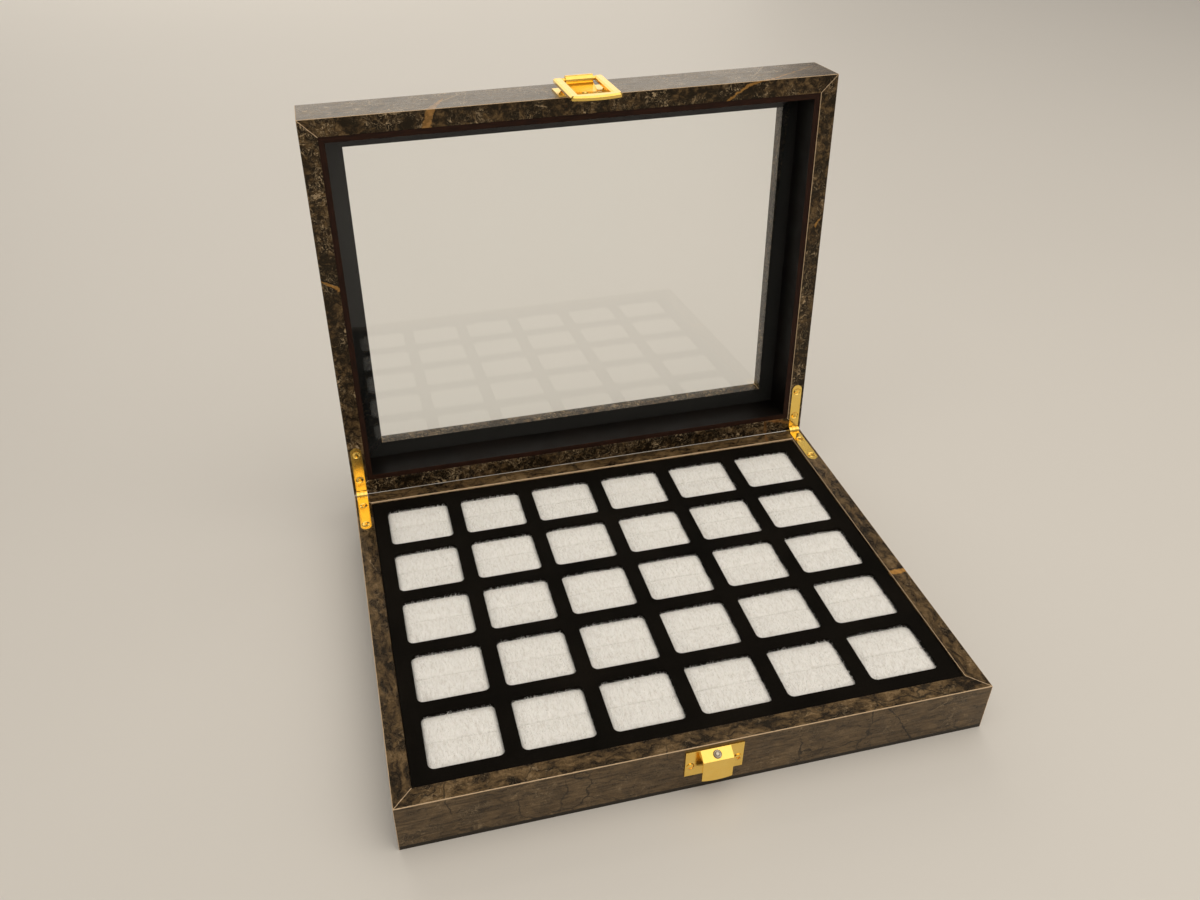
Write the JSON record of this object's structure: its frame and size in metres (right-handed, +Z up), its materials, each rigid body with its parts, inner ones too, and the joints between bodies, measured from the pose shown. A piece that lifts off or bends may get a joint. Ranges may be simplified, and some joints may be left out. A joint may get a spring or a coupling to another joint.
{
  "type": "ring display case",
  "caption": "Shallow ring display case with a glazed lid on side-rail stop hinges, a hook-and-loop latch, and slit plush pads in a black cell board.",
  "frame": {"origin": "centre of the base's underside", "axes": "+X to the case's right seen from the front, +Y to the hinged back, +Z up; lid open at its stop"},
  "size_m": [0.28, 0.2664, 0.2532],
  "materials": {
    "marble_foil_board": "glossy dark brown-grey marble-look foil over board, with gold and cream veins",
    "bottom_board": "matt black-papered board",
    "black_board": "black flocked board",
    "ledge_board": "bare board",
    "white_plush": "white plush over foam",
    "clear_glass": "clear float glass",
    "liner_board": "dark-faced board strip",
    "brassed_steel": "polished gold plating",
    "nickel_rivet": "bright nickel"
  },
  "bodies": {
    "base": {"base_front_rail": "marble_foil_board", "base_back_rail": "marble_foil_board", "base_left_rail": "marble_foil_board", "base_right_rail": "marble_foil_board", "base_bottom_panel": "bottom_board", "cell_board": "black_board", "board_ledge_front": "ledge_board", "board_ledge_back": "ledge_board", "board_ledge_left": "ledge_board", "board_ledge_right": "ledge_board", "ring_pads_row_1": "white_plush", "ring_pads_row_2": "white_plush", "ring_pads_row_3": "white_plush", "ring_pads_row_4": "white_plush", "ring_pads_row_5": "white_plush", "hinge_left_base_leaf": "brassed_steel", "hinge_left_pin": "brassed_steel", "hinge_right_base_leaf": "brassed_steel", "hinge_right_pin": "brassed_steel", "hinge_base_screws": "brassed_steel", "catch_plate": "brassed_steel", "catch_screws": "brassed_steel", "catch_rivet": "nickel_rivet"},
    "lid": {"lid_front_rail": "marble_foil_board", "lid_back_rail": "marble_foil_board", "lid_left_rail": "marble_foil_board", "lid_right_rail": "marble_foil_board", "lid_glass": "clear_glass", "lid_liner_front": "liner_board", "lid_liner_back": "liner_board", "lid_liner_left": "liner_board", "lid_liner_right": "liner_board", "hinge_left_lid_leaf": "brassed_steel", "hinge_right_lid_leaf": "brassed_steel", "hinge_lid_screws": "brassed_steel", "latch_bracket": "brassed_steel", "latch_bracket_screws": "brassed_steel", "latch_bracket_rivet": "brassed_steel"},
    "latch_loop": {"latch_loop": "brassed_steel"}
  },
  "joints": [
    {"name": "lid_hinge", "type": "hinge", "parent": "base", "child": "lid", "pos_m": [0, 0.109, 0.0286], "axis": [1, 0, 0], "range_deg": [0, 93.4]},
    {"name": "latch_swing", "type": "hinge", "parent": "lid", "child": "latch_loop", "pos_m": [0.003, 0.13729, 0.25011], "axis": [-1, 0, 0], "range_deg": [0, 190]}
  ]
}
